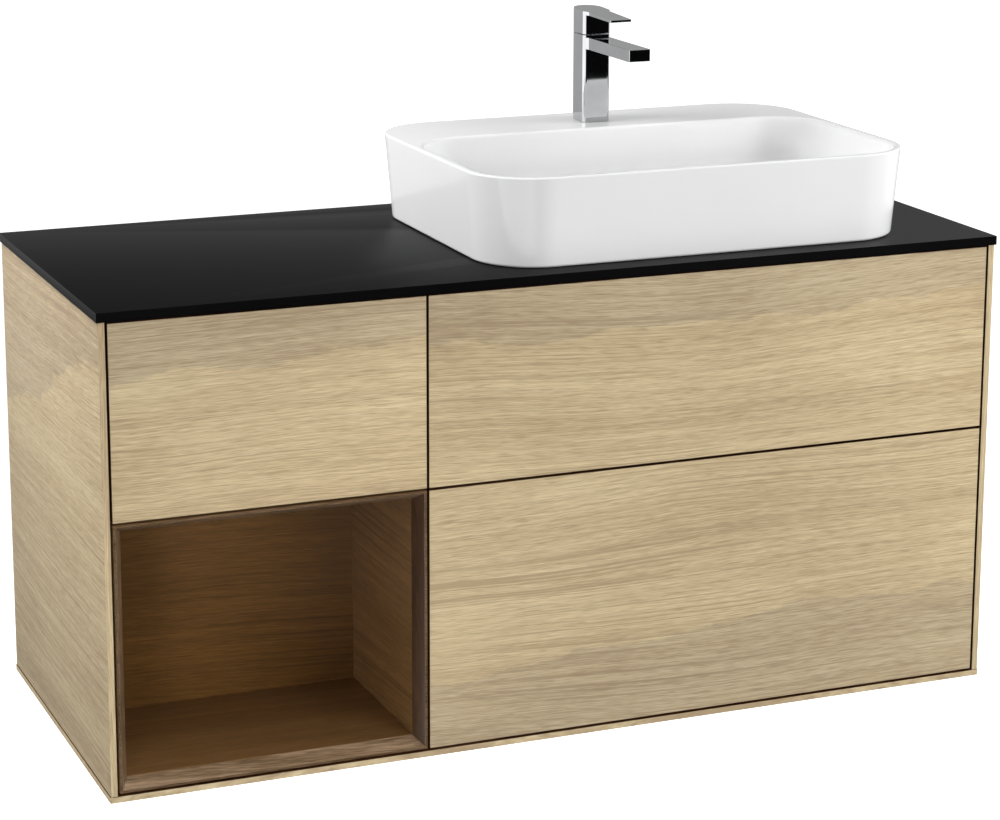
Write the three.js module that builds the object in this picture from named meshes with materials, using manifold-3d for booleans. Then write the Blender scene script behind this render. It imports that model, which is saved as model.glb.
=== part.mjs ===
// Wall-hung vanity unit with three drawers, an open shelf, a glass worktop, a vessel basin and a
// single-lever basin mixer. Millimetres, +Z up, +Y towards the wall, +X to the right as seen from
// the front. The origin is the centre of the rear hanging rail's wall face.

import * as THREE from 'three';
import { mergeVertices } from 'three/addons/utils/BufferGeometryUtils.js';
import Module from 'manifold-3d';

const wasm = await Module();
wasm.setup();

// ---- driving dimensions ----

const WIDTH = 1200;            // worktop, left to right
const DEPTH = 501;             // worktop, front edge to wall
const HEIGHT = 603;            // underside of the cabinet to the top of the worktop
const WORKTOP = 11.6;          // worktop thickness
const SIDE_LIP = 2.2;          // worktop past each side panel
const FRONT_LIP = 2.1;         // worktop past the fronts
const BOARD = 16;              // side panels, divider and rails
const FRONT_BOARD = 19;        // drawer fronts
const EDGE = 8.2;              // front edge left showing on the side panels
const BASE_EDGE = 7.9;         // front edge left showing on the bottom panel
const BASE_PROUD = 1;          // bottom panel past each side panel
const GAP = 3;                 // shadow gap round every front
const TOP_GAP = 2.1;           // gap between the fronts and the worktop
const PUSH = 3;                // space behind a front, taken up when it is pushed to open
const ROW_SPLIT = 346.9;       // height of the gap between the two rows
const COLUMN_SPLIT = -191.2;   // centre of the gap between the two columns
const FIT = 0.2;               // clearance between neighbouring parts
const THIN_BOARD = 8;          // back panel, drawer bottoms and shelf back
const WALL_GAP = 0.5;          // everything but the hanging rail stops this far from the wall

const RAIL_HEIGHT = 91;        // rear hanging rail
const RAIL_HALF_LENGTH = 515;
const LOWER_RAIL_HEIGHT = 68;
const FRONT_RAIL_DEPTH = 80;

const SHELF_RIM = 3.5;         // flat front rim of the open shelf
const SHELF_BEVEL = 10;        // width of the splay inside the rim
const SHELF_BEVEL_DEPTH = 20;
const SHELF_DEPTH = 240.9;     // front of the rim to the shelf's back wall
const SHELF_STEP = 6.8;        // the box is this much smaller all round behind its rim

const DRAWER_WALL = 12;        // drawer sides and backs
const DRAWER_BACK = -44;       // rear face of every drawer
const RUNNER_SPACE = 12.7;     // between a carcase wall and the drawer beside it
const RUNNER_FRONT = -474;
const RUNNER_REAR = -34;
const RUNNER_RISE = 34;        // centre of a runner above the lower edge of the drawer side
const UPPER_DRAWER = [356, 520];
const LOWER_DRAWER = [30, 270];
const TRAP_BAY = [62, 71];     // half width, and reach in front of the waste, of the trap's bay

const BASIN_X = 203;           // centre of the basin, waste and tap
const BASIN_WIDTH = 604;
const BASIN_DEPTH = 452;
const BASIN_HEIGHT = 114.6;
const BASIN_RADIUS = 90;       // corner radius at the rim
const BASIN_TAPER = 9.7;       // inset of the foot from the rim
const BASIN_WALL = 10;
const LEDGE = 131;             // flat rear ledge, back edge to bowl
const LEDGE_THICK = 12;
const RIM = 12.5;              // rim width at the front and the sides
const BOWL_DEPTH = 98;
const BOWL_RUN = 84;           // how far the bowl wall runs in on its way down
const BOWL_RADIUS = 70;
const BOWL_FULLNESS = 0.72;    // below 1, the wall stays steep before it turns into the floor
const DRAIN_FALL = 4;
const DRAIN_FLAT = 36;
const DRAIN_HOLE = 22.5;
const TAP_HOLE = 17.5;

const TAP_Y = -86.9;           // axis of the tap
const TAP_HALF_WIDTH = 20;
const TAP_FRONT = 26;          // axis to the flat front of the column
const TAP_CORNER = 5;
const TAP_BACK = [4, 22];      // where the round back starts, and how deep it is
const TAP_BODY_HEIGHT = 119.9;
const CAP_HEIGHT = [120.7, 154.4];  // underside, and top at the back, above the ledge
const CAP_SLOPE = 0.042;       // fall of the cap and the lever blade towards the front
const BLADE_REACH = 102;       // axis to the end of the lever blade
const BLADE_THICK = [3.6, 5.5];     // at its end and at the cap
const SPOUT_REACH = 162;       // axis to the end of the spout
const SPOUT_HALF_WIDTH = 15.15;
const SPOUT_HEIGHT = [100.6, 116.9];
const CARTRIDGE_RADIUS = 14;
const SHANK_RADIUS = [11, 14];

// ---- sizes worked out from them ----

const SIDE = WIDTH / 2 - SIDE_LIP;                // outer face of a side panel
const INNER = SIDE - BOARD;                       // its inner face
const FRONT = -(DEPTH - FRONT_LIP);               // plane of the drawer fronts
const FRONT_BACK = FRONT + FRONT_BOARD;           // their rear faces
const CARCASE_FRONT = FRONT_BACK + PUSH;          // front of the divider and of the rebates
const FRONT_EDGE = SIDE - EDGE - GAP;             // outer edge of the outermost fronts
const UNDER_WORKTOP = HEIGHT - WORKTOP;
const BOTTOM_TOP = BOARD;                         // upper face of the bottom panel
const ROWS = {
  lower: [BASE_EDGE + GAP, ROW_SPLIT - GAP / 2],
  upper: [ROW_SPLIT + GAP / 2, UNDER_WORKTOP - TOP_GAP],
};
const COLUMNS = {
  left: [-FRONT_EDGE, COLUMN_SPLIT - GAP / 2],
  right: [COLUMN_SPLIT + GAP / 2, FRONT_EDGE],
};
const BAYS = {
  left: [-INNER, COLUMN_SPLIT - BOARD / 2],
  right: [COLUMN_SPLIT + BOARD / 2, INNER],
};
const RAIL_BOTTOM = UNDER_WORKTOP - FIT - RAIL_HEIGHT;
const MOUNT_HEIGHT = RAIL_BOTTOM + RAIL_HEIGHT / 2;
const RAIL_FACE = -(BOARD + FIT);                 // front face of the rear rails
const BACK_PANEL = [RAIL_FACE - THIN_BOARD - FIT, RAIL_FACE - FIT];
const TOP_OF_BAY = UNDER_WORKTOP - BOARD - 2 * FIT;

const BASIN_Y = -DEPTH / 2;
const RIM_HEIGHT = HEIGHT + BASIN_HEIGHT;
const BOWL_FRONT = BASIN_Y - BASIN_DEPTH / 2 + RIM;
const BOWL_BACK = BASIN_Y + BASIN_DEPTH / 2 - LEDGE;
const BOWL_Y = (BOWL_FRONT + BOWL_BACK) / 2;
const BOWL_SIZE = [BASIN_WIDTH - 2 * RIM, BOWL_BACK - BOWL_FRONT];
const DRAIN_HEIGHT = RIM_HEIGHT - BOWL_DEPTH - DRAIN_FALL;

// ---- materials ----

const paint = (color, roughness, metalness = 0) =>
  new THREE.MeshStandardMaterial({ color, roughness, metalness });

const oak = paint('#bea988', 0.6);
const walnut = paint('#4c331f', 0.45);
const blackGlass = paint('#1c1c1d', 0.35);
const greyBoard = paint('#77736c', 0.7);
const anthracite = paint('#4b4c4d', 0.6);
const zinc = paint('#a9abad', 0.4, 1);
const ceramic = paint('#f3f3f1', 0.1);
const chrome = paint('#d6d8da', 0.08, 1);
const plastic = paint('#d9d9d6', 0.5);

// ---- geometry helpers ----

function block([x0, x1], [y0, y1], [z0, z1]) {
  const geometry = new THREE.BoxGeometry(x1 - x0, y1 - y0, z1 - z0);
  return geometry.translate((x0 + x1) / 2, (y0 + y1) / 2, (z0 + z1) / 2);
}

// An outline in plan, made solid between two heights.
function upright(outline, [z0, z1], curveSegments = 6) {
  const shape = outline instanceof THREE.Shape ? outline : new THREE.Shape(outline.map(toPoint));
  const options = { depth: z1 - z0, bevelEnabled: false, curveSegments };
  return new THREE.ExtrudeGeometry(shape, options).translate(0, 0, z0);
}

// An outline seen from the front, made solid between two distances from the wall.
function alongY(outline, [y0, y1]) {
  return upright(outline, [-y1, -y0]).rotateX(Math.PI / 2);
}

// An outline seen from the side, as [y, z] points, made solid between two places along X.
function alongX(outline, ends) {
  return upright(outline, ends).applyMatrix4(new THREE.Matrix4().makeBasis(
    new THREE.Vector3(0, 1, 0),
    new THREE.Vector3(0, 0, 1),
    new THREE.Vector3(1, 0, 0),
  ));
}

// A profile of [radius, height] points turned about the Z axis.
function turned(profile, segments = 24) {
  return new THREE.LatheGeometry(profile.map(toPoint), segments).rotateX(Math.PI / 2);
}

function ringOf(inner, outer, z0, z1) {
  return turned([[inner, z0], [outer, z0], [outer, z1], [inner, z1], [inner, z0]]);
}

function rod(radius, [z0, z1]) {
  return turned([[0, z0], [radius, z0], [radius, z1], [0, z1]]);
}

// A skin over rings of equal length, closed at both ends. The caps follow a flat outline of a ring.
function loft(rings, outline) {
  const count = rings[0].length;
  const index = [];
  for (let level = 0; level + 1 < rings.length; level += 1) {
    for (let i = 0; i < count; i += 1) {
      const [a, b] = [level * count + i, level * count + ((i + 1) % count)];
      index.push(a, b, b + count, a, b + count, a + count);
    }
  }
  const last = (rings.length - 1) * count;
  for (const [a, b, c] of THREE.ShapeUtils.triangulateShape(outline.map(toPoint), [])) {
    index.push(a, c, b, last + a, last + b, last + c);
  }
  const geometry = new THREE.BufferGeometry();
  geometry.setAttribute('position', new THREE.Float32BufferAttribute(rings.flat(2), 3));
  return geometry.setIndex(index);
}

// The points of a rounded rectangle at one height, anticlockwise as seen from above. Every side
// keeps a short straight stretch, so that no two points meet.
function roundedRing([width, depth], largestRadius, y, z, steps = 6) {
  const radius = Math.min(largestRadius, width / 2 - 0.1, depth / 2 - 0.1);
  const corners = [[1, 1], [-1, 1], [-1, -1], [1, -1]];
  return corners.flatMap(([sx, sy], corner) => Array.from({ length: steps + 1 }, (_, step) => {
    const angle = (corner + step / steps) * Math.PI / 2;
    const cx = BASIN_X + sx * (width / 2 - radius);
    const cy = y + sy * (depth / 2 - radius);
    return [cx + radius * Math.cos(angle), cy + radius * Math.sin(angle), z];
  }));
}

function toPoint([x, y]) {
  return new THREE.Vector2(x, y);
}

function solid(geometry) {
  const bare = geometry.clone();
  bare.deleteAttribute('normal');
  bare.deleteAttribute('uv');
  const merged = mergeVertices(bare, 1e-3);
  const vertProperties = new Float32Array(merged.attributes.position.array);
  const triVerts = new Uint32Array(merged.index.array);
  return new wasm.Manifold(new wasm.Mesh({ numProp: 3, vertProperties, triVerts }));
}

function surface(manifold) {
  const mesh = manifold.getMesh();
  const geometry = new THREE.BufferGeometry();
  geometry.setAttribute('position', new THREE.BufferAttribute(mesh.vertProperties, 3));
  return geometry.setIndex(new THREE.BufferAttribute(mesh.triVerts, 1));
}

function joined(first, ...others) {
  return surface(others.reduce((sum, other) => sum.add(solid(other)), solid(first)));
}

function cut(body, ...tools) {
  return surface(tools.reduce((rest, tool) => rest.subtract(solid(tool)), solid(body)));
}

function grow([low, high], by) {
  return [low - by, high + by];
}

const vanity = new THREE.Group();

function add(name, geometry, material, group) {
  const mesh = new THREE.Mesh(geometry, material);
  mesh.name = name;
  group.add(mesh);
}

function newGroup() {
  const group = new THREE.Group();
  vanity.add(group);
  return group;
}

// ---- cabinet ----

// Side panel with a rebate behind its front edge, which the outer drawer fronts close into.
function sidePanel(side) {
  const outline = [
    [SIDE, FRONT],
    [SIDE, -WALL_GAP],
    [INNER, -WALL_GAP],
    [INNER, CARCASE_FRONT],
    [SIDE - EDGE, CARCASE_FRONT],
    [SIDE - EDGE, FRONT],
  ].map(([x, y]) => [side * x, y]);
  return upright(outline, [BASE_EDGE + FIT, UNDER_WORKTOP - FIT]);
}

// Bottom panel: a thin slab under the sides and fronts, with a thicker floor between the sides.
function bottomPanel() {
  const base = SIDE + BASE_PROUD;
  const floor = INNER - FIT;
  const slab = block([-base, base], [FRONT, -WALL_GAP], [0, BASE_EDGE]);
  return joined(slab, block([-floor, floor], [CARCASE_FRONT, RAIL_FACE - FIT], [1, BOTTOM_TOP]));
}

function worktop() {
  const outline = new THREE.Shape([
    [-WIDTH / 2, -DEPTH],
    [WIDTH / 2, -DEPTH],
    [WIDTH / 2, -WALL_GAP],
    [-WIDTH / 2, -WALL_GAP],
  ].map(toPoint));
  for (const [y, radius] of [[BOWL_Y, 45], [TAP_Y, 30]]) {
    outline.holes.push(new THREE.Path().absarc(BASIN_X, y, radius, 0, 2 * Math.PI, true));
  }
  return upright(outline, [UNDER_WORKTOP, HEIGHT], 12);
}

// Back panel, notched round the hangers, with a window for the waste and the water supply.
function backPanel() {
  const [half, notch, foot, top] = [INNER - FIT, 536, BOTTOM_TOP + FIT, TOP_OF_BAY];
  const shoulder = RAIL_BOTTOM + 30;
  const outline = new THREE.Shape([
    [-half, foot],
    [half, foot],
    [half, shoulder],
    [notch, shoulder],
    [notch, top],
    [-notch, top],
    [-notch, shoulder],
    [-half, shoulder],
  ].map(toPoint));
  const [reach, low, high] = [150, 380, 496];
  outline.holes.push(new THREE.Path([
    [BASIN_X - reach, low],
    [BASIN_X - reach, high],
    [BASIN_X + reach, high],
    [BASIN_X + reach, low],
  ].map(toPoint)));
  return alongY(outline, BACK_PANEL);
}

function addCarcase() {
  const group = newGroup();
  const between = [-INNER + FIT, INNER - FIT];
  add('countertop_plate', worktop(), blackGlass, group);
  add('side_panel_left', sidePanel(-1), oak, group);
  add('side_panel_right', sidePanel(1), oak, group);
  add('bottom_panel', bottomPanel(), oak, group);
  const divider = [BAYS.left[1], BAYS.right[0]];
  const dividerRun = [CARCASE_FRONT, BACK_PANEL[0] - FIT];
  add('centre_divider', block(divider, dividerRun, [BOTTOM_TOP + FIT, TOP_OF_BAY]), greyBoard, group);
  add('back_panel', backPanel(), greyBoard, group);
  const frontRail = [CARCASE_FRONT, CARCASE_FRONT + FRONT_RAIL_DEPTH];
  const railHeights = [UNDER_WORKTOP - FIT - BOARD, UNDER_WORKTOP - FIT];
  add('front_rail', block(between, frontRail, railHeights), greyBoard, group);
  const hangingRail = [[-RAIL_HALF_LENGTH, RAIL_HALF_LENGTH], [RAIL_FACE, 0]];
  add('rear_rail', block(...hangingRail, [RAIL_BOTTOM, RAIL_BOTTOM + RAIL_HEIGHT]), greyBoard, group);
  const lowerRail = [BASE_EDGE + FIT, BASE_EDGE + FIT + LOWER_RAIL_HEIGHT];
  add('lower_rail', block(between, [RAIL_FACE, -WALL_GAP], lowerRail), greyBoard, group);
}

// A hanger inside each upper rear corner hooks over the turned-up lip of a bracket on the wall.
function addHangers() {
  const group = newGroup();
  const foot = RAIL_BOTTOM + 40;
  const bracket = [
    [-0.5, 0], [-0.5, 44], [-3, 44], [-3, 24.5], [-6.5, 24.5],
    [-6.5, 36], [-9, 36], [-9, 22], [-3, 22], [-3, 0],
  ].map(([y, z]) => [y, z + foot]);
  const hanger = [
    [-50, 0], [-12, 0], [-12, 36.6], [-6.2, 36.6], [-6.2, 26],
    [-3.4, 26], [-3.4, 42], [-12, 42], [-12, 48], [-50, 48],
  ].map(([y, z]) => [y, z + foot]);
  const hangerEnds = [INNER - FIT - 24, INNER - FIT];
  const bracketEnds = [INNER - 42, INNER - 3];
  for (const [side, name] of [[-1, 'left'], [1, 'right']]) {
    const placed = (ends) => ends.map((x) => side * x).sort((a, b) => a - b);
    add(`wall_bracket_${name}`, alongX(bracket, placed(bracketEnds)), zinc, group);
    add(`hanger_${name}`, alongX(hanger, placed(hangerEnds)), zinc, group);
  }
}

// ---- open shelf ----

// One wall of the shelf box: a front rim, a splay inside it and a plain wall behind, mitred into
// its neighbours. The profile gives distance in from the box's outline, and depth.
function shelfWall([start, end], place, turn) {
  const inner = SHELF_RIM + SHELF_BEVEL;
  const back = FRONT + SHELF_DEPTH - FIT;
  const lip = FRONT_BACK - FIT;
  const profile = [
    [0, FRONT],
    [SHELF_RIM, FRONT],
    [inner, FRONT + SHELF_BEVEL_DEPTH],
    [inner, back],
    [SHELF_STEP, back],
    [SHELF_STEP, lip],
    [0, lip],
  ];
  const near = profile.map(([inset, y]) => place(inset, y, start + inset + FIT / 2));
  const far = profile.map(([inset, y]) => place(inset, y, end - inset - FIT / 2));
  return loft(turn ? [far, near] : [near, far], profile);
}

function addShelf() {
  const group = newGroup();
  const [[left, right], [bottom, top]] = [COLUMNS.left, ROWS.lower];
  const walls = {
    left: [[bottom, top], (inset, y, z) => [left + inset, y, z], false],
    right: [[bottom, top], (inset, y, z) => [right - inset, y, z], true],
    bottom: [[left, right], (inset, y, x) => [x, y, bottom + inset], true],
    top: [[left, right], (inset, y, x) => [x, y, top - inset], false],
  };
  for (const [name, wall] of Object.entries(walls)) {
    add(`shelf_${name}`, shelfWall(...wall), walnut, group);
  }
  const back = [FRONT + SHELF_DEPTH, FRONT + SHELF_DEPTH + THIN_BOARD];
  const [across, up] = [grow([left, right], -SHELF_STEP), grow([bottom, top], -SHELF_STEP)];
  add('shelf_back', block(across, back, up), walnut, group);
}

// ---- drawers ----

// C-shaped runner fixed to the carcase, and the member that slides in it. The profiles give
// distance from the carcase wall, and height.
const FIXED_RUNNER = [
  [0.2, -18], [6.2, -18], [6.2, -16.2], [1.8, -16.2],
  [1.8, 16.2], [6.2, 16.2], [6.2, 18], [0.2, 18],
];
const SLIDING_RUNNER = [
  [2.3, -15.6], [5, -15.6], [5, -12], [12.2, -12],
  [12.2, 12], [5, 12], [5, 15.6], [2.3, 15.6],
];

function addRunners(name, [left, right], height, group) {
  const walls = [['left', (u) => left + u], ['right', (u) => right - u]];
  for (const [side, place] of walls) {
    const outline = (profile) => profile.map(([u, z]) => [place(u), height + z]);
    const fixed = alongY(outline(FIXED_RUNNER), [RUNNER_FRONT, RUNNER_REAR]);
    add(`${name}_runner_fixed_${side}`, fixed, zinc, group);
    const sliding = alongY(outline(SLIDING_RUNNER), [RUNNER_FRONT + 2, RUNNER_REAR - 2]);
    add(`${name}_runner_sliding_${side}`, sliding, zinc, group);
  }
}

// Plan of the drawer floor, cut away round the trap where there is one.
function drawerFloor([left, right], trapBay) {
  const rear = DRAWER_BACK;
  const front = FRONT_BACK + FIT;
  if (!trapBay) {
    return [[left, front], [right, front], [right, rear], [left, rear]];
  }
  const [[bayLeft, bayRight], bayFront] = trapBay;
  return [
    [left, front], [right, front], [right, rear], [bayRight, rear],
    [bayRight, bayFront], [bayLeft, bayFront], [bayLeft, rear], [left, rear],
  ];
}

// Plan of the drawer back, which folds forward round the trap where there is one.
function drawerBack([left, right], trapBay) {
  const rear = DRAWER_BACK;
  const front = rear - DRAWER_WALL;
  if (!trapBay) {
    return [[left, front], [right, front], [right, rear], [left, rear]];
  }
  const [[bayLeft, bayRight], bayFront] = trapBay;
  const [outerLeft, outerRight] = [bayLeft - DRAWER_WALL, bayRight + DRAWER_WALL];
  return [
    [left, front], [outerLeft, front], [outerLeft, bayFront - DRAWER_WALL],
    [outerRight, bayFront - DRAWER_WALL], [outerRight, front], [right, front],
    [right, rear], [bayRight, rear], [bayRight, bayFront], [bayLeft, bayFront],
    [bayLeft, rear], [left, rear],
  ];
}

function addDrawer(name, column, row, [foot, head], trapBay) {
  const group = newGroup();
  const [left, right] = grow(BAYS[column], -RUNNER_SPACE);
  const [innerLeft, innerRight] = grow([left, right], -DRAWER_WALL);
  const sideRun = [FRONT_BACK + FIT, DRAWER_BACK];
  const inside = grow([innerLeft, innerRight], -FIT);
  const floor = [foot + 6, foot + 6 + THIN_BOARD];
  add(`${name}_front`, block(COLUMNS[column], [FRONT, FRONT_BACK], ROWS[row]), oak, group);
  add(`${name}_side_left`, block([left, innerLeft], sideRun, [foot, head]), anthracite, group);
  add(`${name}_side_right`, block([innerRight, right], sideRun, [foot, head]), anthracite, group);
  add(`${name}_bottom`, upright(drawerFloor(inside, trapBay), floor), greyBoard, group);
  add(`${name}_back`, upright(drawerBack(inside, trapBay), [floor[1] + FIT, head]), anthracite, group);
  addRunners(name, BAYS[column], foot + RUNNER_RISE, group);
}

function addDrawers() {
  const [reach, forward] = TRAP_BAY;
  const trapBay = [[BASIN_X - reach, BASIN_X + reach], BOWL_Y - forward];
  addDrawer('drawer_left', 'left', 'upper', UPPER_DRAWER);
  addDrawer('drawer_upper', 'right', 'upper', UPPER_DRAWER, trapBay);
  addDrawer('drawer_lower', 'right', 'lower', LOWER_DRAWER);
}

// ---- basin ----

// The bowl as a solid, grown outwards and downwards by the thickness of the ceramic or by nothing.
function bowl(grown) {
  const levels = 8;
  const ring = (run, z) => roundedRing(
    BOWL_SIZE.map((size) => size - 2 * run + 2 * grown), BOWL_RADIUS + grown, BOWL_Y, z - grown);
  const drain = DRAIN_FLAT + grown;
  const rings = [
    roundedRing([2 * drain, 2 * drain], drain, BOWL_Y, DRAIN_HEIGHT - grown),
  ];
  for (let level = levels; level >= 0; level -= 1) {
    const angle = (level / levels) * Math.PI / 2;
    const run = BOWL_RUN * (1 - Math.cos(angle) ** BOWL_FULLNESS);
    const drop = BOWL_DEPTH * Math.sin(angle) ** BOWL_FULLNESS;
    rings.push(ring(run, RIM_HEIGHT - drop));
  }
  rings.push(ring(0, RIM_HEIGHT + 2 * BASIN_WALL));
  return loft(rings, rings[0]);
}

// The outside of the basin, tapering to its foot, or the same shape set in by a wall's thickness.
function basinBlock(inset, [z0, z1]) {
  const ring = (extra, z) => roundedRing(
    [BASIN_WIDTH - 2 * (inset + extra), BASIN_DEPTH - 2 * (inset + extra)],
    BASIN_RADIUS - inset - extra, BASIN_Y, z);
  const rings = [ring(BASIN_TAPER, z0), ring(0, z1)];
  return loft(rings, rings[0]);
}

function basin() {
  const foot = HEIGHT + FIT;
  const outside = solid(basinBlock(0, [foot, RIM_HEIGHT]));
  const hollow = solid(basinBlock(BASIN_WALL, [foot - 1, RIM_HEIGHT - LEDGE_THICK]));
  const bowlShell = solid(bowl(BASIN_WALL)).intersect(outside);
  const holes = [[BOWL_Y, DRAIN_HOLE], [TAP_Y, TAP_HOLE]].map(([y, radius]) =>
    solid(rod(radius, [HEIGHT - 1, RIM_HEIGHT + 1]).translate(BASIN_X, y, 0)));
  let shell = outside.subtract(hollow).add(bowlShell).subtract(solid(bowl(0)));
  for (const hole of holes) {
    shell = shell.subtract(hole);
  }
  return surface(shell);
}

// ---- waste and trap ----

// Flanged waste, with a cross that guides the stem of the plug.
function wasteBody() {
  const top = DRAIN_HEIGHT + 3.2;
  const body = turned([
    [16.4, top - 59], [21.8, top - 59], [21.8, top - 3], [33, top - 3],
    [33, top - 1.5], [31, top], [19, top], [19, top - 44], [16.4, top - 46], [16.4, top - 59],
  ]);
  const cross = [top - 19, top - 15];
  const arms = [block([-20, 20], [-2, 2], cross), block([-2, 2], [-20, 20], cross)];
  return cut(joined(body, ...arms, rod(7.5, cross)), rod(4.4, grow(cross, 1)));
}

function addWaste() {
  const group = newGroup();
  group.position.set(BASIN_X, BOWL_Y, 0);
  const top = DRAIN_HEIGHT + 3.2;
  const underBasin = DRAIN_HEIGHT - BASIN_WALL - FIT;
  const cover = [
    [0, top - 36], [7, top - 36], [7, top - 32], [4, top - 30], [4, top + 1],
    [30, top + 1], [31, top + 2.5], [29, top + 5], [0, top + 6],
  ];
  add('waste_body', wasteBody(), chrome, group);
  add('waste_plug', turned(cover), chrome, group);
  add('waste_locknut', turned([
    [22.1, underBasin - 17], [30, underBasin - 17], [30, underBasin - 5],
    [26, underBasin], [22.1, underBasin], [22.1, underBasin - 17],
  ]), plastic, group);
  add('waste_tail', ringOf(14.5, 16, 430, top - 47), plastic, group);
  const outletHeight = 465;
  const cup = turned([
    [0, 400], [28, 400], [32, 404], [32, 488], [24, 493], [24, 512],
    [16.4, 512], [16.4, 488], [29, 484], [29, 404], [0, 403],
  ]);
  const towardsWall = (geometry) => geometry.rotateX(-Math.PI / 2).translate(0, 0, outletHeight);
  add('trap_bottle', cut(cup, towardsWall(rod(16.4, [20, 40]))), plastic, group);
  const outletRun = [24, -WALL_GAP - BOWL_Y];
  add('trap_outlet', towardsWall(ringOf(14.5, 16, ...outletRun)), plastic, group);
}

// ---- tap ----

// Plan of the column: a flat front with small corners, flat sides and a round back.
function columnPlan() {
  const [backStart, backDepth] = TAP_BACK;
  const [half, corner] = [TAP_HALF_WIDTH, TAP_CORNER];
  const plan = new THREE.Shape();
  plan.moveTo(half - corner, -TAP_FRONT);
  plan.absarc(half - corner, corner - TAP_FRONT, corner, -Math.PI / 2, 0, false);
  plan.lineTo(half, backStart);
  plan.absellipse(0, backStart, half, backDepth, 0, Math.PI, false, 0);
  plan.lineTo(-half, corner - TAP_FRONT);
  plan.absarc(corner - half, corner - TAP_FRONT, corner, Math.PI, 1.5 * Math.PI, false);
  return plan;
}

function tapBody() {
  const column = upright(columnPlan(), [FIT, TAP_BODY_HEIGHT]);
  const spout = block([-SPOUT_HALF_WIDTH, SPOUT_HALF_WIDTH], [-SPOUT_REACH, 0], SPOUT_HEIGHT);
  const cartridgeBore = rod(CARTRIDGE_RADIUS + FIT, [TAP_BODY_HEIGHT - 36, TAP_BODY_HEIGHT + 1]);
  const shankBore = rod(SHANK_RADIUS[1] + FIT, [-1, 14]);
  const aerator = rod(10.6, [SPOUT_HEIGHT[0] - 1, SPOUT_HEIGHT[0] + 7]);
  aerator.translate(0, 14 - SPOUT_REACH, 0);
  return cut(joined(column, spout), cartridgeBore, shankBore, aerator);
}

// Cap and lever blade in one piece, hollow over the cartridge's spindle.
function tapLever() {
  const [under, backTop] = CAP_HEIGHT;
  const back = TAP_BACK[0] + TAP_BACK[1];
  const topAt = (y) => backTop - (back - y) * CAP_SLOPE;
  const plan = columnPlan().getPoints(6).slice(0, -1);
  const rings = [
    plan.map(({ x, y }) => [x, y, under]),
    plan.map(({ x, y }) => [x, y, topAt(y)]),
  ];
  const [tip, root] = [-BLADE_REACH, 4 - TAP_FRONT];
  const blade = alongX([
    [tip, topAt(tip) - BLADE_THICK[0]],
    [root, topAt(root) - BLADE_THICK[1]],
    [root, topAt(root) - 0.01],
    [tip, topAt(tip)],
  ], [-SPOUT_HALF_WIDTH, SPOUT_HALF_WIDTH]);
  const cap = loft(rings, rings[0]);
  return cut(joined(cap, blade), rod(13, [under - 1, under + 20]));
}

function addTap() {
  const group = newGroup();
  group.position.set(BASIN_X, TAP_Y, RIM_HEIGHT);
  const [shankInner, shankOuter] = SHANK_RADIUS;
  const spindleFoot = TAP_BODY_HEIGHT - 0.6;
  add('tap_body', tapBody(), chrome, group);
  const cartridge = [TAP_BODY_HEIGHT - 35.7, TAP_BODY_HEIGHT - 1];
  add('tap_cartridge', rod(CARTRIDGE_RADIUS, cartridge), plastic, group);
  add('tap_spindle', turned([
    [0, spindleFoot], [9, spindleFoot], [9, spindleFoot + 3], [5, spindleFoot + 4],
    [5, spindleFoot + 13], [0, spindleFoot + 13],
  ]), zinc, group);
  add('tap_lever', tapLever(), chrome, group);
  const aerator = rod(10.2, [SPOUT_HEIGHT[0] - 0.6, SPOUT_HEIGHT[0] + 6.7]);
  add('tap_aerator', aerator.translate(0, 14 - SPOUT_REACH, 0), plastic, group);
  add('tap_shank', ringOf(shankInner, shankOuter, -62, 13.7), zinc, group);
  const underLedge = -LEDGE_THICK - FIT;
  add('tap_locknut', turned([
    [shankOuter + FIT, underLedge - 12], [21, underLedge - 12], [21, underLedge - 3],
    [26, underLedge - 3], [26, underLedge], [shankOuter + FIT, underLedge],
    [shankOuter + FIT, underLedge - 12],
  ]), zinc, group);
}

addCarcase();
addHangers();
addShelf();
addDrawers();
addWaste();
addTap();
const basinGroup = newGroup();
add('basin', basin(), ceramic, basinGroup);
vanity.position.set(0, 0, -MOUNT_HEIGHT);

export default vanity;
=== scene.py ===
import math

import bmesh
import bpy
from mathutils import Matrix, Vector


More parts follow.
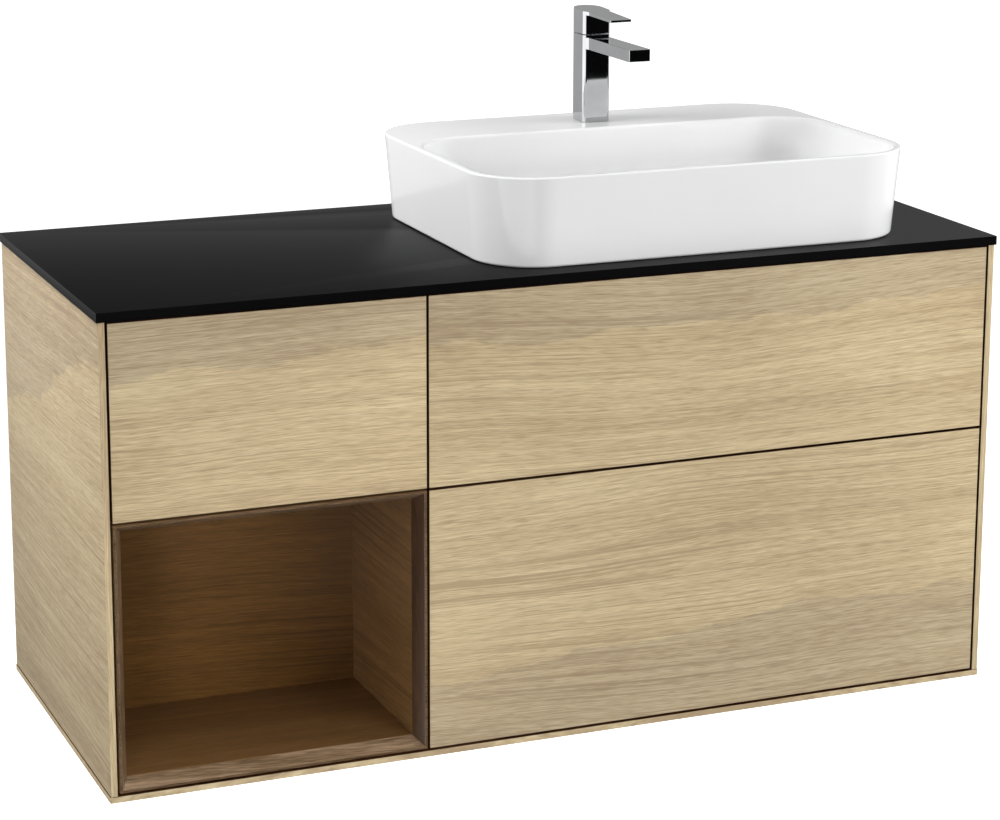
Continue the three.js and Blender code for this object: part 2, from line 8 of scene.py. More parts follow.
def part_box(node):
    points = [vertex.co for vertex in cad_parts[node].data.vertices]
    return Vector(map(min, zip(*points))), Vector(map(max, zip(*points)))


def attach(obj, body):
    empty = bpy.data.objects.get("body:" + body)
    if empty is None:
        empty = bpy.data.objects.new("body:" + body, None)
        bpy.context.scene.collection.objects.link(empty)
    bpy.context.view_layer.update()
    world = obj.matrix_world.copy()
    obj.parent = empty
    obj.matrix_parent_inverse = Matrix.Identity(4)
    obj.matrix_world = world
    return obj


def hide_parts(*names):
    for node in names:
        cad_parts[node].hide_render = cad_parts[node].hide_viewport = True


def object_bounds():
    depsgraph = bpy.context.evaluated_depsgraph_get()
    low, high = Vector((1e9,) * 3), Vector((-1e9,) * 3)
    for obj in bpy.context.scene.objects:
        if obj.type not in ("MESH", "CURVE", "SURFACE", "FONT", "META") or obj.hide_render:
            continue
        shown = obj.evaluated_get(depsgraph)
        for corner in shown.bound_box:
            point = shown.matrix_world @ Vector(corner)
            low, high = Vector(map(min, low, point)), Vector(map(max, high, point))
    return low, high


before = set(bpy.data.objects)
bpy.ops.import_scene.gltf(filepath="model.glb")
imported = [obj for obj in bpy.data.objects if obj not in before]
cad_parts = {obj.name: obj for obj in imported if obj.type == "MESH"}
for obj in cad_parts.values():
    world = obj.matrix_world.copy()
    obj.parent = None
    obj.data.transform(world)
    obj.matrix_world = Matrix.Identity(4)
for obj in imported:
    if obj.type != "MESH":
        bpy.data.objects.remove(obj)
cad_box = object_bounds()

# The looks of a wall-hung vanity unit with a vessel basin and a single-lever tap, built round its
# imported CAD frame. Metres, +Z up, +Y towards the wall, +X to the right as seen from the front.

MM = 0.001

# ---- sizes that the frame's boxes don't give ----

BASIN_RADIUS = 90 * MM         # corner radius of the basin at its rim
BASIN_TAPER = 9.7 * MM         # inset of the foot from the rim
BASIN_WALL = 10 * MM
LEDGE = 131 * MM               # back edge of the basin to the bowl
LEDGE_THICK = 12 * MM
RIM = 12.5 * MM                # width of the rim at the front and the sides
RIM_ROUND = 2.5 * MM           # rounding of the rim's outer edge
LIP_ROUND = 5 * MM             # rounding of the edge between rim and bowl
FOOT_ROUND = 3.5 * MM
BOWL_DEPTH = 98 * MM
BOWL_RUN = 84 * MM             # how far the bowl wall runs in on its way down
BOWL_RADIUS = 70 * MM
BOWL_FULLNESS = 0.72           # below 1, the wall stays steep before it turns into the floor
DRAIN_FALL = 4 * MM
DRAIN_FLAT = 36 * MM
DRAIN_HOLE = 22.5 * MM
TAP_HOLE = 17.5 * MM

COLUMN_HALF = 20 * MM          # tap column, half width
COLUMN_FRONT = 26 * MM         # tap axis to the flat front of the column
COLUMN_CORNER = 5 * MM
COLUMN_BACK = (4 * MM, 22 * MM)  # where the round back starts, and how deep it is
ARM_HALF = 15.15 * MM          # half width of the spout and of the lever blade
CAP_SLOPE = 0.042              # fall of the lever towards its end
BLADE_THICK = (3.6 * MM, 5.5 * MM)  # at its end and at the cap
SPOUT_THICK = 16.3 * MM
FLOOR_DROP = 250 * MM          # the unit's underside above the floor


def centre_of(node):
    low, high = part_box(node)
    return (low + high) / 2


# ---- camera, floor and light ----

CAMERA_PLACE = (-1.390, -3.649, 0.809)
CAMERA_PITCH, CAMERA_YAW = 12.68, 21.71
CAMERA_LENS = 103.5
CAMERA_SHIFT = (0.0296, -0.12)


def link(thing):
    bpy.context.scene.collection.objects.link(thing)
    return thing


def add_camera():
    camera = link(bpy.data.objects.new("camera", bpy.data.cameras.new("camera")))
    camera.location = CAMERA_PLACE
    camera.rotation_euler = (math.radians(90 - CAMERA_PITCH), 0, math.radians(-CAMERA_YAW))
    camera.data.sensor_width = 36
    camera.data.lens = CAMERA_LENS
    camera.data.shift_x, camera.data.shift_y = CAMERA_SHIFT
    bpy.context.scene.camera = camera


def add_lamp(name, place, aim, size, power, spread=180):
    lamp = link(bpy.data.objects.new(name, bpy.data.lights.new(name, "AREA")))
    lamp.location = place
    lamp.rotation_euler = (Vector(aim) - Vector(place)).to_track_quat("-Z", "Y").to_euler()
    lamp.data.shape = "RECTANGLE"
    lamp.data.size, lamp.data.size_y = size
    lamp.data.energy = power
    lamp.data.spread = math.radians(spread)
    lamp.visible_glossy = False
    lamp.visible_camera = False


def add_studio():
    low, high = cad_box
    middle = (low + high) / 2
    basin = centre_of("basin")
    shelf = centre_of("shelf_back")
    add_lamp("front", (1.2, -3.4, 0.3), middle, (1.8, 1.2), 60.5)
    add_lamp("shelf", (-1.7, -2.8, -0.1), shelf, (0.8, 0.6), 0.44, spread=16)
    add_lamp("right", (1.9, -0.8, 1.4), basin, (1.2, 1.2), 24)
    add_lamp("left", (-1.15, 0.10, 0.95), basin, (0.8, 0.9), 24)
    add_lamp("back", (0.2, 1.1, 1.1), basin, (1.2, 0.8), 5)
    add_world()
    add_floor(low.z - FLOOR_DROP)


# White where the camera looks past the object. What lights the object is an even pale room, and
# what polished parts mirror is a room with a grey back wall, a dark front, a lit strip each side
# and a ceiling.
def add_world():
    world = bpy.data.worlds.new("studio")
    bpy.context.scene.world = world
    world.use_nodes = True
    g = Nodes(world.node_tree)
    g.tree.nodes.clear()

    def background(colour, strength=1.0):
        return g.add("Background", {"Color": colour, "Strength": strength})

    axes = g.split(g.add("TexCoord", {}, "Generated"))
    turn = g.math("ARCTAN2", axes["X"], axes["Y"])
    share = g.add("MapRange", {"Value": turn, "From Min": -math.pi, "From Max": math.pi})
    walls = background(g.ramp(share, MIRRORED_ROOM), MIRRORED_STRENGTH)
    ceiling = background(g.ramp(axes["Z"], MIRRORED_CEILING))
    mirrored = g.add("MixShader", {0: g.smooth(axes["Z"], *CEILING), 1: walls, 2: ceiling})
    ray = g.tree.nodes.new("ShaderNodeLightPath").outputs
    room = g.add("MixShader", {0: ray["Is Glossy Ray"], 1: background(EVEN_ROOM), 2: mirrored})
    white = background((1, 1, 1), SEEN_STRENGTH)
    seen = g.add("MixShader", {0: ray["Is Camera Ray"], 1: room, 2: white})
    out = g.tree.nodes.new("ShaderNodeOutputWorld")
    g.tree.links.new(seen, out.inputs["Surface"])


# Brightness by compass direction: 0 and 1 are the front, 0.25 the left, 0.5 the wall side and 0.75
# the right.
MIRRORED_ROOM = [
    (0.00, 0.002), (0.03, 0.002), (0.06, 0.85), (0.36, 0.90), (0.40, 0.30), (0.52, 0.27),
    (0.57, 0.21), (0.62, 0.25), (0.68, 0.60), (0.76, 0.50), (0.80, 0.002), (1.00, 0.002),
]
MIRRORED_STRENGTH = 1.9
CEILING = (0.25, 0.50)         # how steeply a mirrored ray climbs where the ceiling takes over
MIRRORED_CEILING = [(0.55, 0.42), (0.80, 0.85), (0.95, 0.34)]  # brightness by the same climb
EVEN_ROOM = (0.38, 0.38, 0.38)
SEEN_STRENGTH = 1.05           # a little over white, so that the background stays clean


def fill_ramp(ramp, stops):
    elements = ramp.color_ramp.elements
    while len(elements) > 1:
        elements.remove(elements[0])
    for index, (place, colour) in enumerate(stops):
        element = elements[0] if index == 0 else elements.new(place)
        element.position = place
        if isinstance(colour, (int, float)):
            colour = (colour, colour, colour)
        element.color = (*colour, 1)


def add_floor(height):
    half = 30
    mesh = bpy.data.meshes.new("floor")
    corners = [(-half, -half), (half, -half), (half, half), (-half, half)]
    mesh.from_pydata([(x, y, height) for x, y in corners], [], [(0, 1, 2, 3)])
    floor = link(bpy.data.objects.new("floor", mesh))
    g = Graph("pale_floor", Roughness=0.9, Emission_Color=(1, 1, 1), Emission_Strength=0.85)
    speck = g.mottle(3, 3)
    g.into("Base Color", g.two_tone(speck, "#e2e2e1", "#e6e6e5"))
    floor.data.materials.append(g.material)
    floor.visible_glossy = False
    floor.visible_diffuse = False


# ---- material graphs ----

def tone(code):
    """A colour written as #rrggbb, in the linear values that shaders take."""
    parts = [int(code[i:i + 2], 16) / 255 for i in (1, 3, 5)]
    return tuple(p / 12.92 if p <= 0.04045 else ((p + 0.055) / 1.055) ** 2.4 for p in parts)


class Nodes:
    """A tree of nodes. Each method adds a node and returns its output."""

    def __init__(self, tree):
        self.tree = tree

    def feed(self, socket, value):
        if isinstance(value, bpy.types.NodeSocket):
            self.tree.links.new(value, socket)
        else:
            if socket.type == "RGBA" and len(value) == 3:
                value = (*value, 1)
            socket.default_value = value

    def add(self, kind, inputs, output=0, **settings):
        node = self.tree.nodes.new("ShaderNode" + kind)
        for key, value in settings.items():
            setattr(node, key, value)
        for socket, value in inputs.items():
            self.feed(node.inputs[socket], value)
        return node.outputs[output]

    def position(self):
        return self.add("TexCoord", {}, "Object")

    def split(self, vector):
        node = self.tree.nodes.new("ShaderNodeSeparateXYZ")
        self.tree.links.new(vector, node.inputs[0])
        return dict(zip("XYZ", node.outputs))

    def join(self, x, y, z):
        return self.add("CombineXYZ", {0: x, 1: y, 2: z})

    def scaled(self, vector, scale):
        return self.add("VectorMath", {0: vector, 1: scale}, operation="MULTIPLY")

    def noise(self, vector, scale, detail=2.0, roughness=0.5):
        inputs = {"Vector": self.scaled(vector, scale), "Scale": 1.0, "Detail": detail,
                  "Roughness": roughness}
        return self.add("TexNoise", inputs, "Fac")

    def mottle(self, scale, detail):
        """Noise of the same scale each way."""
        return self.noise(self.position(), (scale, scale, scale), detail)

    def two_tone(self, value, low, high, width=0.4):
        """From one #rrggbb to another, over the middle of the value's range."""
        stops = [(0.5 - width / 2, tone(low)), (0.5 + width / 2, tone(high))]
        return self.ramp(value, stops)

    def cells(self, vector, scale):
        """A random colour for each cell."""
        inputs = {"Vector": self.scaled(vector, scale), "Scale": 1.0}
        return self.add("TexVoronoi", inputs, "Color")

    def math(self, operation, a, b=0.0, clamp=False):
        return self.add("Math", {0: a, 1: b}, operation=operation, use_clamp=clamp)

    def swing(self, value, amount):
        """A noise value as an offset either way of nothing."""
        return self.math("MULTIPLY", self.math("SUBTRACT", value, 0.5), amount)

    def smooth(self, value, low, high):
        """0 below low and 1 above high."""
        inputs = {"Value": value, "From Min": low, "From Max": high}
        return self.add("MapRange", inputs, interpolation_type="SMOOTHSTEP")

    def between(self, value, low, high):
        """A value from 0 to 1, as one from low to high."""
        return self.add("MapRange", {"Value": value, "To Min": low, "To Max": high})

    def ramp(self, value, stops):
        node = self.tree.nodes.new("ShaderNodeValToRGB")
        self.tree.links.new(value, node.inputs[0])
        fill_ramp(node, stops)
        return node.outputs[0]

    def blend(self, share, a, b, mode="MIX"):
        node = self.tree.nodes.new("ShaderNodeMix")
        node.data_type = "RGBA"
        node.blend_type = mode
        for socket, value in ((0, share), (6, a), (7, b)):
            self.feed(node.inputs[socket], value)
        return node.outputs[2]


class Graph(Nodes):
    """One material's nodes, feeding its shader. A coat is (weight, roughness), and the other
    constants go by their sockets' names, with _ for a space."""

    def __init__(self, name, coat=None, **constants):
        self.material = bpy.data.materials.new(name)
        self.material.use_nodes = True
        super().__init__(self.material.node_tree)
        self.shader = self.tree.nodes["Principled BSDF"]
        if coat:
            constants["Coat_Weight"], constants["Coat_Roughness"] = coat
        for socket, value in constants.items():
            self.into(socket.replace("_", " "), value)

    def into(self, socket, value):
        self.feed(self.shader.inputs[socket], value)

    def bump(self, height, distance, strength):
        inputs = {"Height": height, "Distance": distance, "Strength": strength}
        self.into("Normal", self.add("Bump", inputs))


# ---- materials ----

OAK = {
    "stops": [(0.27, tone("#ad9777")), (0.42, tone("#bfaa86")), (0.56, tone("#cbb791")),
              (0.73, tone("#d9c8a2"))],
    "pore": tone("#a08969"), "dark": tone("#aa9474"),
    "roughness": (0.50, 0.62), "specular": 0.3,
}
WALNUT = {
    "stops": [(0.10, tone("#442d15")), (0.35, tone("#5e4122")), (0.63, tone("#704e2b")),
              (0.90, tone("#85603a"))],
    "pore": tone("#482f17"), "dark": tone("#4a3119"),
    "roughness": (0.36, 0.46), "specular": 0.5,
}
DARK_WALNUT = {
    "stops": [(0.27, tone("#33200f")), (0.42, tone("#432c18")), (0.56, tone("#4e3521")),
              (0.73, tone("#5c4129"))],
    "pore": tone("#271809"), "dark": tone("#301f10"),
    "roughness": (0.30, 0.38), "specular": 0.6, "coat": (0.7, 0.34),
}

# A matte copy of the dark walnut: the base of the painted shade in the gaps and of the painted
# highlight on the shelf's front rim
MATTE_DARK_WALNUT = dict(DARK_WALNUT, coat=None, specular=0.2, roughness=(0.55, 0.65))


def lit(look, red, green, blue, **changes):
    """The same veneer, lighter or darker: a copy toned as painted light or shade for one set of
    faces.
    """
    def times(colour):
        return colour[0] * red, colour[1] * green, colour[2] * blue

    return dict(look, pore=times(look["pore"]), dark=times(look["dark"]),
                stops=[(at, times(colour)) for at, colour in look["stops"]], **changes)


# Which axes a veneer's grain runs along, across and into.
FLOW = {"X": "XZY", "Y": "YZX", "Z": "ZXY", "flat": "XYZ"}

# What makes up a veneer's tone: scales along, across and into the grain, detail, roughness, weight.
TONES = {
    "bands": ((0.6, 19.0, 6.0), 2, 0.5, 0.40),
    "rings": ((1.0, 95.0, 12.0), 1, 0.5, 0.30),
    "streaks": ((5.0, 400.0, 40.0), 2, 0.7, 0.62),
    "fibres": ((26.0, 900.0, 90.0), 2, 0.6, 0.70),
    "hairs": ((48.0, 1500.0, 150.0), 1, 0.5, 0.60),
    "clouds": ((4.0, 9.0, 3.0), 2, 0.5, 0.30),
}
SEED_STEP = 3.7                # from one piece's veneer to the next, along the grain
DRIFT, RIPPLE = 75 * MM, 5 * MM  # how far the grain wanders, slowly and quickly
VEIN_SHARE, PORE_SHARE = 0.8, 0.42
HEARTWOOD = (0.84, 0.845, 0.90)  # how much darker it is than the rest
HEART_EDGE = (-0.8 * MM, 2.2 * MM)


def wood(name, look, flow, seed, patch=None):
    """Veneer. The patch is heartwood, greyer than the rest: (height of its edge, which way it lies
    from there, how far the edge wanders, the edge's slope)."""
    g = Graph(name, Specular_IOR_Level=look["specular"], coat=look.get("coat"))
    axes = g.split(g.position())
    along, across, deep = (axes[letter] for letter in FLOW[flow])
    along = g.math("ADD", along, seed * SEED_STEP)
    raw = g.join(along, across, deep)
    drift = g.swing(g.noise(raw, (1.1, 2.4, 1.0), detail=1), DRIFT)
    ripple = g.swing(g.noise(raw, (7.0, 16.0, 5.0), detail=2), RIPPLE)
    bent = g.math("ADD", g.math("ADD", across, drift), ripple)
    grain = g.join(along, bent, deep)
    tones, level = {}, 0.5
    for kind, (scale, detail, roughness, weight) in TONES.items():
        place = raw if kind == "clouds" else grain
        tones[kind] = g.noise(place, scale, detail, roughness)
        level = g.math("ADD", level, g.swing(tones[kind], weight))
    colour = g.ramp(level, look["stops"])
    veins = g.smooth(g.noise(grain, (1.1, 280.0, 20.0), detail=1), 0.53, 0.66)
    veins = g.math("MULTIPLY", veins, g.smooth(g.noise(grain, (1.3, 11.0, 4.0)), 0.46, 0.62))
    colour = g.blend(g.math("MULTIPLY", veins, VEIN_SHARE), colour, look["dark"])
    pores = g.smooth(g.noise(grain, (24.0, 520.0, 90.0), detail=1), 0.60, 0.68)
    colour = g.blend(g.math("MULTIPLY", pores, PORE_SHARE), colour, look["pore"])
    if patch:
        height, way, wander, slope = patch
        jag = g.swing(g.noise(grain, (5.0, 9.0, 1.0), detail=5, roughness=0.62), wander)
        climb = g.math("MULTIPLY", axes[FLOW[flow][0]], slope)
        past = g.math("SUBTRACT", g.math("ADD", across, jag), g.math("ADD", climb, height))
        share = g.smooth(g.math("MULTIPLY", past, way), *HEART_EDGE)
        thin = g.between(g.noise(raw, (3.0, 14.0, 2.0), detail=2), 0.66, 1.15)
        share = g.math("MULTIPLY", share, thin, clamp=True)
        colour = g.blend(share, colour, HEARTWOOD, mode="MULTIPLY")
    g.into("Base Color", colour)
    g.into("Roughness", g.between(tones["fibres"], *look["roughness"]))
    relief = g.math("SUBTRACT", tones["fibres"], g.math("MULTIPLY", pores, 0.8))
    g.bump(relief, 0.12 * MM, 0.35)
    return g.material


def glass(name):
    """Back-painted black glass with an etched, satin face."""
    g = Graph(name, Specular_IOR_Level=0.052)
    etch = g.mottle(2600, 1)
    haze = g.mottle(5, 3)
    g.into("Base Color", g.two_tone(haze, "#09090a", "#0d0d0e"))
    g.into("Roughness", g.between(haze, 0.38, 0.44))
    g.bump(etch, 0.02 * MM, 0.2)
    return g.material


def ceramic(name):
    g = Graph(name, Specular_IOR_Level=0.5)
    cloud = g.mottle(7, 3)
    speck = g.mottle(900, 1)
    base = g.two_tone(cloud, "#ebebeb", "#eeeeee")
    dot = g.math("MULTIPLY", g.smooth(speck, 0.74, 0.80), 0.12)
    g.into("Base Color", g.blend(dot, base, tone("#cfcfcc")))
    g.into("Roughness", g.between(cloud, 0.10, 0.15))
    g.bump(g.mottle(48, 2), 0.35 * MM, 0.12)
    return g.material


def chrome(name):
    g = Graph(name, Metallic=1.0)
    cloud = g.mottle(30, 3)
    g.into("Base Color", g.two_tone(cloud, "#c0c2c3", "#c8cacb"))
    g.into("Roughness", g.between(g.mottle(160, 4), 0.02, 0.06))
    return g.material


def steel(name, low, high):
    """Zinc-plated sheet, with the faint grain of rolling and plating."""
    g = Graph(name, Metallic=1.0)
    spangle = g.split(g.cells(g.position(), (420, 420, 420)))["X"]
    drawn = g.noise(g.position(), (900, 14, 900), detail=2)
    level = g.math("ADD", g.math("MULTIPLY", drawn, 0.7), g.math("MULTIPLY", spangle, 0.3))
    g.into("Base Color", g.two_tone(level, low, high, 0.5))
    g.into("Roughness", g.between(drawn, 0.26, 0.42))
    g.bump(drawn, 0.04 * MM, 0.3)
    return g.material


def plastic(name, low, high):
    g = Graph(name, Specular_IOR_Level=0.45)
    cloud = g.mottle(25, 3)
    g.into("Base Color", g.two_tone(cloud, low, high))
    g.into("Roughness", g.between(cloud, 0.38, 0.5))
    g.bump(g.mottle(2200, 1), 0.04 * MM, 0.25)
    return g.material


def melamine(name, low, high):
    """Melamine-faced board with a fine linen print."""
    g = Graph(name, Specular_IOR_Level=0.4)
    place = g.position()
    warp = g.noise(place, (1800, 1800, 90), detail=1)
    weft = g.noise(place, (90, 1800, 1800), detail=1)
    linen = g.math("ADD", g.math("MULTIPLY", warp, 0.5), g.math("MULTIPLY", weft, 0.5))
    g.into("Base Color", g.two_tone(linen, low, high, 0.3))
    g.into("Roughness", g.between(g.mottle(12, 2), 0.48, 0.6))
    g.bump(linen, 0.06 * MM, 0.35)
    return g.material


# Each front's heartwood: how high its edge lies, as a share of the front, whether it is above (1)
# or below (-1) that edge, and the edge's slope.
FRONT_PATCHES = {"left": (0.75, 1, 0.05), "upper": (0.73, 1, 0.02), "lower": (0.33, -1, 0.05)}
FRONT_WANDER, SIDE_WANDER = 75 * MM, 100 * MM
SIDE_PATCH = 220 * MM          # from the side panel's top to its heartwood's edge, at the wall
SIDE_SLOPE = -0.35


def front_patch(name):
    share, way, slope = FRONT_PATCHES[name]
    low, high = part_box(f"drawer_{name}_front")
    height = low.z + share * (high.z - low.z)
    return height - slope * (low.x + high.x) / 2, way, FRONT_WANDER, slope


def make_materials():
    """Every material by the name that the pieces below use."""
    side_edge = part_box("side_panel_left")[1].z - SIDE_PATCH
    woods = {
        # The shelf's back, walls and floor are toned copies of the walnut: painted shade on the
        # back, painted light on the walls and floor, standing in for the light inside the shelf
        "walnut_back": (lit(WALNUT, 0.85, 0.85, 0.66), "X", 1),
        "walnut_wall": (lit(WALNUT, 2.25, 2.65, 3.3, coat=(0.7, 0.25)), "Y", 2),
        "walnut_floor": (lit(WALNUT, 1.80, 2.03, 2.35), "flat", 3),
        # painted shade: the side panels are a darker copy of the oak, for the side that gets less
        # light
        "oak_side": (lit(OAK, 0.84, 0.835, 0.84), "Y", 4,
                     (side_edge, 1, SIDE_WANDER, SIDE_SLOPE)),
        "oak_base": (OAK, "flat", 5),
        "oak_edge": (OAK, "Z", 6),
        "oak_left": (OAK, "X", 7, front_patch("left")),
        "oak_upper": (OAK, "X", 8, front_patch("upper")),
        "oak_lower": (OAK, "X", 9, front_patch("lower")),
        "walnut_post": (DARK_WALNUT, "Z", 13),
        # painted shade: a dark brown copy of the walnut on the carcass's inner faces and the
        # fronts' edges, standing in for the shade in the gaps
        "painted_gap_shade": (lit(MATTE_DARK_WALNUT, 0.85, 0.60, 0.40), "X", 14),
        # painted highlights: the bottom splay, the front rim and the splays of the left side and
        # top are lighter copies of the dark walnut, standing in for the lacquer's sheen and light
        # caught on these edges
        "walnut_sill": (lit(DARK_WALNUT, 4.6, 6.6, 9.5), "X", 15),
        "walnut_rim": (lit(MATTE_DARK_WALNUT, 2.0, 2.6, 3.3), "X", 16),
        "walnut_jamb": (lit(DARK_WALNUT, 3.0, 4.3, 6.6), "Z", 17),
        "walnut_lintel": (lit(DARK_WALNUT, 3.0, 4.3, 6.6), "X", 18),
    }
    return {
        **{name: wood(name, *how) for name, how in woods.items()},
        "black_glass": glass("black_glass"),
        "ceramic": ceramic("glazed_ceramic"),
        "chrome": chrome("chrome"),
        "steel": steel("zinc_steel", "#9b9ea1", "#b9bcbe"),
        "white_plastic": plastic("white_plastic", "#dcdcd9", "#e6e6e3"),
        "grey_plastic": plastic("grey_plastic", "#6f7173", "#7c7e80"),
        "grey_board": melamine("grey_board", "#55524d", "#64615b"),
        "drawer_board": melamine("drawer_board", "#454647", "#525354"),
    }


# ---- shape helpers ----

def eased(points, radius, steps=4, closed=True):
    """The outline with each corner turned into an arc, as large as its neighbours leave room
    for."""
    out = []
    count = len(points)
    for i, point in enumerate(points):
        here = Vector(point)
        if not closed and i in (0, count - 1):
            out.append(here)
            continue
        before, after = Vector(points[i - 1]) - here, Vector(points[(i + 1) % count]) - here
        if before.length < 1e-9 or after.length < 1e-9:
            continue
        half = before.angle(after) / 2
        if half > math.radians(85):
            out.append(here)
            continue
        reach = min(radius / math.tan(half), before.length * 0.45, after.length * 0.45)
        start, end = before.normalized(), after.normalized()
        spread = reach * math.tan(half)
        centre = here + (start + end).normalized() * (spread / math.sin(half))
        first, last = here + start * reach - centre, here + end * reach - centre
        for k in range(steps + 1):
            way = first.slerp(last, k / steps, first.lerp(last, k / steps))
            out.append(centre + way.normalized() * spread)
    return [tuple(p) for p in out]


def tidy_mesh(piece, smooth_below=32):
    """Merges doubled points, turns every face outwards and shades by the angle between faces."""
    shape = bmesh.new()
    shape.from_mesh(piece.data)
    bmesh.ops.remove_doubles(shape, verts=shape.verts, dist=1e-6)
    bmesh.ops.dissolve_degenerate(shape, edges=shape.edges, dist=1e-6)
    bmesh.ops.recalc_face_normals(shape, faces=shape.faces)
    shape.to_mesh(piece.data)
    shape.free()
    piece.data.polygons.foreach_set("use_smooth", [True] * len(piece.data.polygons))
    piece.data.set_sharp_from_angle(angle=math.radians(smooth_below))


def weigh_normals(piece):
    """Lets each wide flat face keep its own shading where it meets a narrow rounding."""
    modifier = piece.modifiers.new("weigh", "WEIGHTED_NORMAL")
    modifier.mode = "FACE_AREA"
    modifier.keep_sharp = True


def loft(name, rings, around=False, closed=True):
    """A skin over rings of equal length. It goes on round to the first ring if around, and has
    flat ends if not. A ring that isn't closed runs from one point to another."""
    count = len(rings[0])
    faces = []
    for level in range(len(rings) if around else len(rings) - 1):
        base, top = level * count, (level + 1) % len(rings) * count
        for i in range(count if closed else count - 1):
            j = (i + 1) % count
            faces.append((base + i, base + j, top + j, top + i))
    if not around:
        last = (len(rings) - 1) * count
        faces += [tuple(reversed(range(count))), tuple(last + i for i in range(count))]
    mesh = bpy.data.meshes.new(name)
    mesh.from_pydata([tuple(p) for ring in rings for p in ring], [], faces)
    piece = link(bpy.data.objects.new(name, mesh))
    tidy_mesh(piece)
    return piece


def turned(name, profile, centre=(0, 0), segments=64, shape=None):
    """A profile of (radius, height) turned about a vertical axis. Shape gives the radius at each
    angle, from (angle, radius, height)."""
    rings = []
    for step in range(segments):
        angle = 2 * math.pi * step / segments
        ring = []
        for radius, height in profile:
            if shape:
                radius = shape(angle, radius, height)
            ring.append((centre[0] + radius * math.cos(angle),
                         centre[1] + radius * math.sin(angle), height))
        rings.append(ring)
    on_axis = profile[0][0] < 1e-9 and profile[-1][0] < 1e-9
    return loft(name, rings, around=True, closed=not on_axis)


def ribs(count, depth, low, high, beyond):
    """Hollows round a collar that a hand or a wrench grips, between two heights."""
    def shape(angle, radius, height):
        if low < height < high and radius > beyond:
            radius -= depth * (0.5 + 0.5 * math.cos(count * angle))
        return radius

    return shape


def hexagon(low, high, beyond):
    """Six flats with chamfered corners, between two heights."""
    def shape(angle, radius, height):
        if low < height < high and radius > beyond:
            turn = (angle + math.pi / 6) % (math.pi / 3) - math.pi / 6
            radius = min(radius * math.cos(math.pi / 6) / math.cos(turn), radius * 0.985)
        return radius

    return shape


def prism(name, outline, low, high):
    return loft(name, [[(x, y, z) for x, y in outline] for z in (low, high)])


def cylinder(name, radius, foot, head, centre=(0, 0), segments=48):
    return turned(name, [(0, foot), (radius, foot), (radius, head), (0, head)], centre, segments)


def millimetres(profile):
    return [(radius * MM, height * MM) for radius, height in profile]


# Turns a shape so that what was its height points this way.
ALONG = {
    "+X": Matrix(((0, 0, 1), (1, 0, 0), (0, 1, 0))),
    "-X": Matrix(((0, 0, -1), (-1, 0, 0), (0, 1, 0))),
    "+Y": Matrix(((-1, 0, 0), (0, 0, 1), (0, 1, 0))),
    "-Y": Matrix(((1, 0, 0), (0, 0, -1), (0, 1, 0))),
}


def put(piece, place, way=None):
    """Moves a shape drawn round the origin to its place."""
    turn = ALONG[way].to_4x4() if way else Matrix()
    piece.data.transform(Matrix.Translation(place) @ turn)
    return piece


def offset_outline(points, distance):
    """The outline moved in by a distance, for a closed outline given anticlockwise."""
    out = []
    count = len(points)
    for i in range(count):
        here = Vector(points[i])
        before, after = here - Vector(points[i - 1]), Vector(points[(i + 1) % count]) - here
        before.normalize()
        after.normalize()
        normal = Vector((-before.y - after.y, before.x + after.x))
        normal.normalize()
        cosine = max(0.35, normal.dot(Vector((-after.y, after.x))))
        out.append(tuple(here + normal * (distance / cosine)))
    return out


def slab(name, outline, bottom, top, ease, steps=4):
    """An outline in plan, solid between two heights, its upper and lower edges rounded. Each height
    is a number, or a function of the point."""
    def level(height, x, y):
        return height(x, y) if callable(height) else height

    rings = []
    for end, sign in ((bottom, 1), (top, -1)):
        turn = range(steps + 1) if sign == 1 else range(steps, -1, -1)
        for k in turn:
            angle = math.pi / 2 * k / steps
            inset = offset_outline(outline, ease * (1 - math.sin(angle)))
            rings.append([(x, y, level(end, x, y) + sign * ease * (1 - math.cos(angle)))
                          for x, y in inset])
    return loft(name, rings)


def combine(piece, tool, operation):
    """Cuts the tool out of the piece, or joins it on, and removes the tool."""
    modifier = piece.modifiers.new("combine", "BOOLEAN")
    modifier.operation = operation
    modifier.solver = "EXACT"
    modifier.object = tool
    bpy.context.view_layer.update()
    graph = bpy.context.evaluated_depsgraph_get()
    result = bpy.data.meshes.new_from_object(piece.evaluated_get(graph))
    piece.modifiers.remove(modifier)
    piece.data = result
    result.name = piece.name
    bpy.data.objects.remove(tool)


def join_meshes(piece, *others):
    """Makes separate shells one piece."""
    shape = bmesh.new()
    shape.from_mesh(piece.data)
    for other in others:
        shape.from_mesh(other.data)
        bpy.data.objects.remove(other)
    shape.to_mesh(piece.data)
    shape.free()
    return piece


def dress(piece, body, slot, *materials, node=None):
    """Materials by their names, the record's slot (not used), the body it moves with, and the CAD
    node that it stands for."""
    piece.data.materials.clear()
    for material in materials:
        piece.data.materials.append(MATERIALS[material])
    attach(piece, body)
    if node:
        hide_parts(node)


